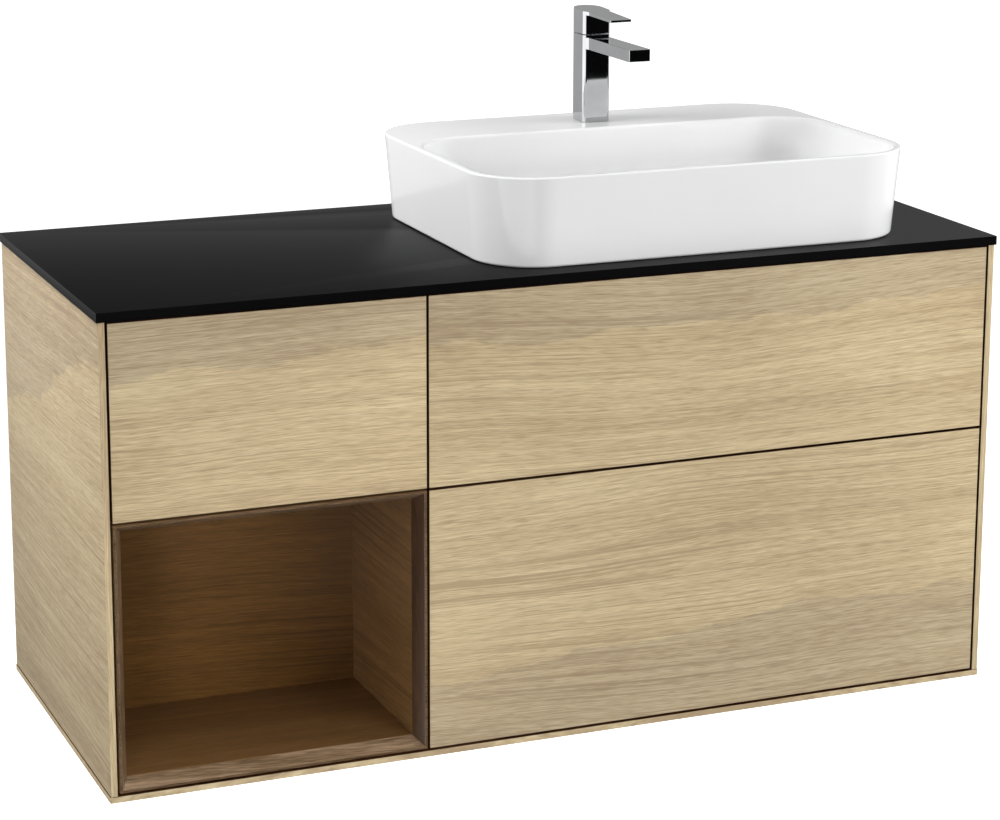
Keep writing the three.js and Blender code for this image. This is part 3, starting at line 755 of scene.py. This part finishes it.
def board(node, body, slot, material, ease=0.5 * MM, edges=(), suffix="board", cuts=()):
    """A CAD board with its edges eased. Edges are (test of a face's normal, material) for the faces
    that are faced or banded with something else, or toned as painted light or shade, and cuts are
    shapes to take out of it."""
    shape = bmesh.new()
    shape.from_mesh(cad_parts[node].data)
    bmesh.ops.remove_doubles(shape, verts=shape.verts, dist=1e-6)
    bmesh.ops.dissolve_limit(shape, angle_limit=math.radians(1), verts=shape.verts,
                             edges=shape.edges, delimit={"NORMAL"})
    bmesh.ops.recalc_face_normals(shape, faces=shape.faces)
    mesh = bpy.data.meshes.new(f"{node}_{suffix}")
    shape.to_mesh(mesh)
    shape.free()
    piece = link(bpy.data.objects.new(f"{node}_{suffix}", mesh))
    mesh.polygons.foreach_set("use_smooth", [True] * len(mesh.polygons))
    for cut in cuts:
        combine(piece, cut, "DIFFERENCE")
    mesh = piece.data
    dress(piece, body, slot, material, *[banding for _, banding in edges])
    for polygon in mesh.polygons:
        for index, (test, _) in enumerate(edges):
            if test(polygon.normal):
                polygon.material_index = index + 1
    bevel = piece.modifiers.new("ease", "BEVEL")
    bevel.width = ease
    bevel.segments = 3
    bevel.limit_method = "ANGLE"
    bevel.angle_limit = math.radians(20)
    bevel.harden_normals = True
    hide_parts(node)


# ---- cabinet ----

def facing(x=0, y=0, z=0):
    """A test of whether a face looks this way."""
    way = Vector((x, y, z))
    return lambda normal: normal.dot(way) > 0.9


def add_cabinet():
    board("countertop_plate", "root", "black_glass", "black_glass", 0.8 * MM, suffix="glass")
    for side, inward in (("left", 1), ("right", -1)):
        # painted shade: each side panel's inner face is dark brown, standing in for the shade in
        # the gaps
        board(f"side_panel_{side}", "root", "oak_veneer", "oak_side", suffix="veneered",
              edges=[(facing(y=-1), "oak_edge"), (facing(x=inward), "painted_gap_shade")])
    # painted shade: the bottom panel's top face is dark brown, standing in for the shade behind the
    # fronts
    board("bottom_panel", "root", "oak_veneer", "oak_base", suffix="veneered",
          edges=[(facing(z=1), "painted_gap_shade")])
    for node in ("centre_divider", "back_panel", "front_rail", "lower_rail"):
        board(node, "root", "grey_board", "grey_board")
    add_rear_rail()
    for side in ("left", "right"):
        add_hanger(side)
    add_back_screws()


def screws(name, places, way, radius=3.6, rise=1.1):
    """Pan-head screws with a cross recess, facing one way. Radius and rise are in millimetres."""
    arm, slot = radius * 0.5, 0.4
    heads = []
    for place in places:
        head = turned(name, millimetres([(0, 0), (radius, 0), (radius, rise * 0.35),
                                         (radius * 0.9, rise * 0.72), (radius * 0.6, rise * 0.95),
                                         (radius * 0.5, rise), (0, rise)]), (0, 0), 24)
        for x, y in ((arm, slot), (slot, arm)):
            recess = prism("recess", millimetres([(-x, -y), (x, -y), (x, y), (-x, y)]),
                           rise * 0.45 * MM, (rise + 1) * MM)
            combine(head, recess, "DIFFERENCE")
        tidy_mesh(head)
        heads.append(put(head, place, way))
    dress(join_meshes(*heads), "root", "zinc_steel", "steel")


def sunk_board(node, slot, material, places, way, radius, screw_name, **how):
    """A board with screws sunk in its face: their places on it, and the radius of their wells."""
    depth = 3 * MM
    wells = [put(cylinder("well", radius, -depth, 2 * MM), place, way) for place in places]
    board(node, "root", slot, material, 0.3 * MM, cuts=wells, **how)
    inward = 1 if way == "-Y" else -1
    screws(screw_name, [(x, y + inward * depth, z) for x, y, z in places], way, 4.6, 2.0)


def add_hanger(side):
    """The wall bracket with its two screws, and the hanger with its two sunk adjusting screws."""
    low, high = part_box(f"wall_bracket_{side}")
    board(f"wall_bracket_{side}", "root", "zinc_steel", "steel", 0.4 * MM, suffix="steel")
    plate, rise = 2.5 * MM, 11 * MM
    screws(f"wall_screws_{side}",
           [(low.x + share * (high.x - low.x), high.y - plate, low.z + rise)
            for share in (0.27, 0.73)], "-Y", 5.2, 2.6)
    low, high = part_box(f"hanger_{side}")
    places = [((low.x + high.x) / 2, low.y, low.z + rise * MM) for rise in (13, 34)]
    sunk_board(f"hanger_{side}", "zinc_steel", "steel", places, "-Y", 5.4 * MM,
               f"hanger_screws_{side}", suffix="steel")


def add_back_screws():
    """Screws along the edges of the back panel."""
    low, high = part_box("back_panel")
    top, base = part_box("rear_rail")[0].z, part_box("lower_rail")[1].z
    columns = [low.x + share * (high.x - low.x) for share in (0.012, 0.21, 0.5, 0.79, 0.988)]
    rows = [base + share * (top - base) for share in (0.06, 0.5, 0.86)]
    edge = [(x, high.y, z) for x in columns for z in rows
            if z in (rows[0], rows[-1]) or x in (columns[0], columns[-1])]
    screws("back_screws", edge, "+Y")


def add_rear_rail():
    """The hanging rail, with sunk screws through its ends."""
    low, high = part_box("rear_rail")
    places = [(x, high.y, z) for x in (low.x + 30 * MM, high.x - 30 * MM)
              for z in (-24 * MM, 24 * MM)]
    sunk_board("rear_rail", "grey_board", "grey_board", places, "+Y", 5.6 * MM, "rail_screws")


def splayed(normal):
    return normal.y < -0.25


def add_shelf():
    """Each wall's grain and the veneer of its splay and front rim. The flat back has none. The
    walls, floor, back, rim and every splay but the right post's are toned copies of the walnut:
    painted light and shade, with painted highlights on the splays and the rim.
    """
    walls = {"left": ("wall", "jamb"), "right": ("wall", "post"), "bottom": ("floor", "sill"),
             "top": ("floor", "lintel"), "back": ("back", None)}
    for wall, (grain, splay) in walls.items():
        edges = [(splayed, f"walnut_{splay}"), (facing(y=-1), "walnut_rim")] if splay else ()
        board(f"shelf_{wall}", "root", "walnut_veneer", f"walnut_{grain}", suffix="veneered",
              edges=edges)


def add_drawers():
    for name in ("left", "upper", "lower"):
        body = f"drawer_{name}"
        # painted shade: the edges of each front are dark brown, standing in for the shade in the
        # gaps between fronts
        board(f"{body}_front", body, "oak_veneer", f"oak_{name}", 0.6 * MM, suffix="veneered",
              edges=[(lambda normal: abs(normal.y) < 0.5, "painted_gap_shade")])
        for part in ("side_left", "side_right", "back"):
            board(f"{body}_{part}", body, "drawer_board", "drawer_board")
        board(f"{body}_bottom", body, "grey_board", "grey_board")
        for side in ("left", "right"):
            add_runner(name, side)


def add_runner(name, side):
    """The fixed channel with its oblong holes and screws, and the sliding member with a sunk web,
    oblong holes and rivets."""
    way, back, out = ("+X", "-X", 1) if side == "left" else ("-X", "+X", -1)
    oblong = eased(millimetres([(-9, -2.4), (9, -2.4), (9, 2.4), (-9, 2.4)]), 2.2 * MM, 5)
    web, lift = 3.4 * MM, 1.35 * MM

    def holes(x, z, foot, head, places):
        return [put(prism("hole", oblong, foot * MM, head * MM), (x, y, z), way) for y in places]

    node = f"drawer_{name}_runner_fixed_{side}"
    low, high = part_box(node)
    middle = (low + high) / 2
    wall = low.x if side == "left" else high.x
    cuts = holes(wall, middle.z, -1, 2.5,
                 (low.y + 70 * MM, middle.y + 40 * MM, high.y - 60 * MM))
    board(node, "root", "zinc_steel", "steel", 0.3 * MM, suffix="steel", cuts=cuts)
    screws(f"{node}_screws", [(wall + out * lift, y, middle.z)
                              for y in (low.y + 40 * MM, middle.y, high.y - 30 * MM)],
           way, 3.4, 0.55)

    node = f"drawer_{name}_runner_sliding_{side}"
    low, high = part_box(node)
    face = low.x if side == "left" else high.x
    long, half = (high.y - low.y) / 2 - 7 * MM, 9 * MM
    groove = eased([(-long, -half), (long, -half), (long, half), (-long, half)], 3 * MM, 4)
    cuts = [put(prism("groove", groove, -1 * MM, web), (face, middle.y, middle.z), way)]
    cuts += holes(face, middle.z, 2, 6.4,
                  (low.y + 60 * MM, middle.y - 30 * MM, high.y - 90 * MM))
    board(node, f"runners_{name}", "zinc_steel", "steel", 0.3 * MM, suffix="steel", cuts=cuts)
    profile = millimetres([(0, 0), (3.4, 0), (3.1, 0.6), (2.2, 1.1), (0, 1.3)])
    rivets = [put(turned("rivet", profile, (0, 0), 24),
                  (face + out * web, low.y + share * (high.y - low.y), middle.z), back)
              for share in (0.06, 0.32, 0.62, 0.94)]
    rivets[0].name = f"{node}_rivets"
    dress(join_meshes(*rivets), f"runners_{name}", "zinc_steel", "steel")


# ---- basin ----

def rounded_ring(centre, size, radius, height):
    steps = 14
    radius = min(radius, size[0] / 2 - 0.1 * MM, size[1] / 2 - 0.1 * MM)
    ring = []
    for corner, (sx, sy) in enumerate(((1, 1), (-1, 1), (-1, -1), (1, -1))):
        for step in range(steps + 1):
            angle = (corner + step / steps) * math.pi / 2
            ring.append((centre[0] + sx * (size[0] / 2 - radius) + radius * math.cos(angle),
                         centre[1] + sy * (size[1] / 2 - radius) + radius * math.sin(angle),
                         height))
    return ring


class Basin:
    """The CAD basin's box, and the bowl's centre and size at the rim."""
    low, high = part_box("basin")
    middle = ((low.x + high.x) / 2, (low.y + high.y) / 2)
    size = (high.x - low.x, high.y - low.y)
    front, back = low.y + RIM, high.y - LEDGE
    bowl_middle = (middle[0], (front + back) / 2)
    bowl_size = (size[0] - 2 * RIM, back - front)


def outer_ring(inset, height):
    size = [side - 2 * inset for side in Basin.size]
    return rounded_ring(Basin.middle, size, BASIN_RADIUS - inset, height)


def bowl_ring(grown, height, run=0.0):
    """The bowl's outline, grown outwards, and run in without losing its corner radius."""
    size = [side + 2 * (grown - run) for side in Basin.bowl_size]
    return rounded_ring(Basin.bowl_middle, size, BOWL_RADIUS + grown, height)


def drain_ring(radius, height):
    return rounded_ring(Basin.bowl_middle, (2 * radius, 2 * radius), radius, height)


def bowl_rings(grown, levels, from_drop):
    """The bowl from its rim down to its floor, grown outwards and down."""
    rings = []
    for level in range(levels + 1):
        angle = math.pi / 2 * (level / levels) ** 1.3
        run = BOWL_RUN * (1 - max(0.0, math.cos(angle)) ** BOWL_FULLNESS)
        drop = BOWL_DEPTH * math.sin(angle) ** BOWL_FULLNESS
        if drop >= from_drop:
            rings.append(bowl_ring(grown, Basin.high.z - drop - grown, run))
    return rings


def floor_rings(grown, steps):
    """From the foot of the bowl wall to the flat round the drain."""
    floor = Basin.high.z - BOWL_DEPTH - grown
    start = bowl_ring(grown, floor, BOWL_RUN)
    end = drain_ring(DRAIN_FLAT + grown, floor - DRAIN_FALL)
    rings = []
    for k in range(1, steps + 1):
        share = k / steps
        fall = share * share * (3 - 2 * share)
        rings.append([(ax + (bx - ax) * share, ay + (by - ay) * share, az + (bz - az) * fall)
                      for (ax, ay, az), (bx, by, bz) in zip(start, end)])
    return rings


def quarter(steps):
    """(sine, cosine) along a quarter turn."""
    return [(math.sin(math.pi / 2 * k / steps), math.cos(math.pi / 2 * k / steps))
            for k in range(steps + 1)]


def basin_outside():
    """Outer wall, rim, bowl and drain hole, as a solid down to the foot."""
    low, high = Basin.low.z, Basin.high.z
    tall, flat, edge = high - low, 0.8 * MM, 1.2 * MM

    def taper(height):
        return BASIN_TAPER * (high - height) / tall

    rings = [drain_ring(DRAIN_HOLE, low), outer_ring(BASIN_TAPER + FOOT_ROUND + 2 * MM, low)]
    for sine, cosine in quarter(5):
        height = low + FOOT_ROUND * (1 - cosine)
        rings.append(outer_ring(taper(height) + FOOT_ROUND * (1 - sine), height))
    for share in (0.25, 0.5, 0.75):
        height = low + FOOT_ROUND + (tall - FOOT_ROUND - RIM_ROUND) * share
        rings.append(outer_ring(taper(height), height))
    for sine, cosine in quarter(5):
        rings.append(outer_ring(RIM_ROUND * (1 - cosine), high - RIM_ROUND * (1 - sine)))
    rings += [outer_ring(RIM_ROUND + flat, high), bowl_ring(LIP_ROUND + flat, high)]
    for sine, cosine in quarter(6):
        rings.append(bowl_ring(LIP_ROUND * (1 - sine), high - LIP_ROUND * (1 - cosine)))
    rings += bowl_rings(0, 30, LIP_ROUND + 1.5 * MM)
    rings += floor_rings(0, 8)
    bottom = high - BOWL_DEPTH - DRAIN_FALL
    rings.append(drain_ring(DRAIN_HOLE + 2 * MM, bottom))
    for sine, cosine in quarter(4):
        rings.append(drain_ring(DRAIN_HOLE + edge * (1 - sine), bottom - edge * (1 - cosine)))
    return loft("basin_ceramic", rings, around=True)


def add_basin():
    low, high = Basin.low.z, Basin.high.z
    piece = basin_outside()
    hollow = loft("hollow", [outer_ring(BASIN_WALL + BASIN_TAPER, low - 1 * MM),
                             outer_ring(BASIN_WALL, high - LEDGE_THICK)])
    shell = loft("shell", [bowl_ring(BASIN_WALL, high + 5 * MM), *bowl_rings(BASIN_WALL, 16, 0),
                           *floor_rings(BASIN_WALL, 3)])
    combine(hollow, shell, "DIFFERENCE")
    combine(piece, hollow, "DIFFERENCE")
    hole = cylinder("hole", TAP_HOLE, low, high + 1 * MM, centre_of("tap_shank"))
    combine(piece, hole, "DIFFERENCE")
    tidy_mesh(piece, 40)
    weigh_normals(piece)
    dress(piece, "root", "glazed_ceramic", "ceramic", node="basin")


# ---- waste and trap ----

def add_waste():
    """The waste from the plug's rest plane down. Profiles are in millimetres above that plane."""
    centre = centre_of("waste_plug")
    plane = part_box("waste_plug")[1].z - 6 * MM

    def raised(profile):
        return [(radius, height + plane) for radius, height in millimetres(profile)]

    angles = [math.radians(70 * k / 12) for k in range(1, 9)]
    dome = [(32 * math.sin(a), 6 - 10 * (1 - math.cos(a))) for a in angles]
    dome = [(radius, height) for radius, height in dome if radius < 28.5]
    stem = eased([(0, -36), (7, -36), (7, -32), (4, -30), (4, 1), (30, 1), (31, 2.5), (29.6, 4.2)],
                 0.6, 3, closed=False)
    plug = turned("waste_plug_polished", raised(stem + dome[::-1] + [(0, 6)]), centre)
    dress(plug, "waste_plug", "chrome", "chrome", node="waste_plug")

    body = turned("waste_body_polished", raised(eased([
        (16.4, -59), (21.8, -59), (21.8, -3), (33, -3), (33, -1.5), (31, 0), (19, 0), (19, -44),
        (16.4, -46)], 0.7, 3)), centre)
    low, high = -19, -15
    guide = turned("guide", raised([(4.4, low), (7.5, low), (7.5, high), (4.4, high)]), centre, 32)
    arms = []
    outline = millimetres(eased([(7.2, -2), (19.4, -2), (19.4, 2), (7.2, 2)], 0.5, 2))
    for turn in range(4):
        arm = slab("arm", outline, plane - centre.z + low * MM, plane - centre.z + high * MM,
                   0.4 * MM, 2)
        arm.data.transform(Matrix.Translation(centre)
                           @ Matrix.Rotation(math.pi / 2 * turn, 4, "Z"))
        arms.append(arm)
    join_meshes(body, guide, *arms)
    tidy_mesh(body)
    dress(body, "root", "chrome", "chrome", node="waste_body")
    ribbed_part("waste_locknut", locknut_profile, 16, 1.6, (0.5, 11), 25, 0.8)
    ribbed_part("trap_bottle", trap_profile, 20, 1.3, (11, 30), 30, 1.0)
    add_pipe("waste_tail")
    add_pipe("trap_outlet", "+Y")


def add_pipe(node, way=None):
    """A plain pipe with softened ends, upright or along a way."""
    low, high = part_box(node)
    radius = (high.x - low.x) / 2
    half = (high.y - low.y if way else high.z - low.z) / 2
    profile = eased([(radius - 1.5 * MM, -half), (radius, -half), (radius, half),
                     (radius - 1.5 * MM, half)], 0.4 * MM, 3)
    piece = put(turned(f"{node}_pipe", profile), centre_of(node), way)
    dress(piece, "root", "white_plastic", "white_plastic", node=node)


def ribbed_part(node, profile_of, count, depth, span, beyond, ease):
    """A plastic collar with ribs. The profile is a function of the CAD node's radius and height,
    and everything is in millimetres."""
    low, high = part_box(node)
    grip = ribs(count, depth * MM, low.z + span[0] * MM, low.z + span[1] * MM, beyond * MM)
    profile = profile_of((high.x - low.x) / 2 / MM, (high.z - low.z) / MM)
    turned_part(node, "root", "white_plastic", "white_plastic", profile, 96, grip, ease, "ribbed")


def locknut_profile(radius, tall):
    return [(22.1, 0), (radius, 0), (radius, 12), (radius - 4, tall), (22.1, tall)]


def trap_profile(radius, tall):
    neck = tall - 24
    return [(0, 0), (radius - 6, 0), (radius - 1, 3), (radius - 1, 10), (radius, 10.5),
            (radius, 30), (radius - 1.4, 31), (radius - 1.4, neck), (24, neck + 5), (24, tall),
            (16.4, tall), (16.4, neck), (29, neck - 4), (29, 4), (0, 3)]


# ---- tap ----

def arc(centre, radii, start, end, steps):
    return [(centre[0] + radii[0] * math.cos(math.radians(start + (end - start) * k / steps)),
             centre[1] + radii[1] * math.sin(math.radians(start + (end - start) * k / steps)))
            for k in range(steps + 1)]


def column_plan():
    """Flat front with small corners, flat sides and a round back, anticlockwise from the front
    right corner."""
    half, front, corner = COLUMN_HALF, COLUMN_FRONT, COLUMN_CORNER
    start, depth = COLUMN_BACK
    return (arc((half - corner, corner - front), (corner, corner), -90, 0, 10)
            + arc((0, start), (half, depth), 0, 180, 36)
            + arc((corner - half, corner - front), (corner, corner), 180, 270, 10))


def arm_plan(reach):
    """The spout or the lever blade: straight sides that sweep out to the column's sides."""
    corner, root, flare = 0.8 * MM, 8 * MM, 16 * MM
    wide = COLUMN_HALF - 0.03 * MM
    start = -COLUMN_FRONT - flare / 2
    sweep = []
    for k in range(13):
        share = k / 12
        out = share * share * (3 - 2 * share)
        sweep.append((ARM_HALF + (wide - ARM_HALF) * out, start + flare * share))
    right = [(ARM_HALF - corner * (1 - sine), -reach + corner * (1 - cosine))
             for sine, cosine in quarter(5)] + sweep + [(wide, -root)]
    left = [(-x, y) for x, y in reversed(right)]
    return right + left


def placed(outline, centre):
    return [(centre.x + x, centre.y + y) for x, y in outline]


def add_tap():
    axis = centre_of("tap_shank")
    low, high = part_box("tap_body")
    spout_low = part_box("tap_aerator")[0].z + 0.6 * MM
    piece = slab("tap_body_polished", placed(column_plan(), axis), low.z, high.z, 0.5 * MM)
    spout = slab("spout", placed(arm_plan(axis.y - low.y), axis), spout_low,
                 spout_low + SPOUT_THICK, 0.7 * MM)
    combine(piece, spout, "UNION")
    bores = [(14.2 * MM, high.z - 36 * MM, high.z + 1 * MM, axis),
             (14.2 * MM, low.z - 1 * MM, low.z + 14 * MM, axis),
             (10.6 * MM, spout_low - 1 * MM, spout_low + 7 * MM, centre_of("tap_aerator"))]
    for bore in bores:
        combine(piece, cylinder("bore", *bore), "DIFFERENCE")
    finish_polished(piece, "root", "tap_body")
    add_lever(axis)
    add_tap_insides()


def finish_polished(piece, body, node):
    tidy_mesh(piece, 30)
    weigh_normals(piece)
    dress(piece, body, "chrome", "chrome", node=node)


def add_lever(axis):
    low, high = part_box("tap_lever")
    back = COLUMN_BACK[0] + COLUMN_BACK[1]
    reach = axis.y - low.y

    def top(x, y):
        return high.z - (back - (y - axis.y)) * CAP_SLOPE

    def underside(x, y):
        share = min(1.0, max(0.0, (y - axis.y + reach) / (reach - COLUMN_FRONT)))
        return top(x, y) - BLADE_THICK[0] - (BLADE_THICK[1] - BLADE_THICK[0]) * share

    piece = slab("tap_lever_polished", placed(column_plan(), axis), low.z, top, 0.5 * MM)
    blade = slab("blade", placed(arm_plan(reach), axis), underside,
                 lambda x, y: top(x, y) - 0.03 * MM, 0.6 * MM)
    combine(piece, blade, "UNION")
    bore = cylinder("bore", 13 * MM, low.z - 1 * MM, low.z + 20 * MM, axis)
    combine(piece, bore, "DIFFERENCE")
    finish_polished(piece, "tap_lever", "tap_lever")


def add_tap_insides():
    turned_part("tap_cartridge", "root", "white_plastic", "grey_plastic", [
        (0, 0), (11, 0), (12, 1), (12, 3), (14, 3), (14, 8), (12.8, 8), (12.8, 10.4), (14, 10.4),
        (14, 24), (13, 24), (13, 26.4), (14, 26.4), (14, 33.2), (12, 34.7), (0, 34.7)])
    low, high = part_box("tap_spindle")
    spline = ribs(18, 0.5 * MM, low.z + 4.2 * MM, high.z + 1 * MM, 4.4 * MM)
    turned_part("tap_spindle", "tap_spindle", "zinc_steel", "steel", [
        (0, 0), (9, 0), (9, 3), (5, 4), (5, 12.4), (4.4, 13), (0, 13)], 144, spline)
    low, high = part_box("tap_locknut")
    flats = hexagon(low.z - 1 * MM, high.z - 2.9 * MM, 16 * MM)
    turned_part("tap_locknut", "root", "zinc_steel", "steel", [
        (14.3, 0), (19.6, 0), (21, 1.2), (21, 9), (26, 9), (26, 12), (14.3, 12)], 96, flats)
    low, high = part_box("tap_shank")
    tall = (high.z - low.z) / MM
    inner, outer = 11.0, 14.0
    thread = [(inner, 0), (outer - 0.8, 0)]
    for turn in range(int((tall - 16) / 1.5)):
        thread += [(outer - 0.7, 0.6 + 1.5 * turn), (outer, 1.2 + 1.5 * turn)]
    thread += [(outer - 0.7, tall - 15), (outer, tall - 14), (outer, tall), (inner, tall)]
    turned_part("tap_shank", "root", "zinc_steel", "steel", thread, ease=0)
    add_aerator()


def turned_part(node, body, slot, material, profile, segments=72, shape=None, ease=0.4,
                suffix="turned"):
    """A turned part in its CAD node's place. The profile is in millimetres above the node's
    foot."""
    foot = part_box(node)[0].z
    raised = [(radius * MM, foot + height * MM) for radius, height in profile]
    if ease:
        raised = eased(raised, ease * MM, 3, closed=raised[0][0] > 0)
    piece = turned(f"{node}_{suffix}", raised, centre_of(node), segments, shape)
    dress(piece, body, slot, material, node=node)


def add_aerator():
    """A notched ring round a grid of rings and spokes, seen from under the spout."""
    low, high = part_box("tap_aerator")
    centre = centre_of("tap_aerator")
    radius = (high.x - low.x) / 2 / MM
    notches = ribs(24, 0.35 * MM, low.z - 1 * MM, low.z + 2.4 * MM, (radius - 1) * MM)

    def ring(name, inner, outer, foot, head, shape=None):
        profile = [(inner, foot), (outer, foot), (outer, head), (inner, head)]
        raised = eased([(r * MM, low.z + h * MM) for r, h in profile], 0.2 * MM, 2)
        return turned(name, raised, centre, 96, shape)

    piece = ring("tap_aerator_grid", radius - 1.4, radius, 0, 7.3, notches)
    parts = [ring("plate", 0.2, radius - 1.3, 3.4, 4.4)]
    parts += [ring("grid", r, r + 0.5, 1.2, 3.6) for r in (1.6, 3.6, 5.6, 7.6)]
    for turn in range(8):
        spoke = prism("spoke", millimetres([(0.8, -0.25), (radius - 1.2, -0.25),
                                            (radius - 1.2, 0.25), (0.8, 0.25)]),
                      1.2 * MM, 3.6 * MM)
        spoke.data.transform(Matrix.Translation((centre.x, centre.y, low.z))
                             @ Matrix.Rotation(math.pi / 4 * turn, 4, "Z"))
        parts.append(spoke)
    join_meshes(piece, *parts)
    tidy_mesh(piece)
    dress(piece, "root", "white_plastic", "grey_plastic", node="tap_aerator")


add_camera()
MATERIALS = make_materials()
add_studio()
add_cabinet()
add_shelf()
add_drawers()
add_basin()
add_waste()
add_tap()

bpy.context.scene.view_settings.view_transform = "Standard"
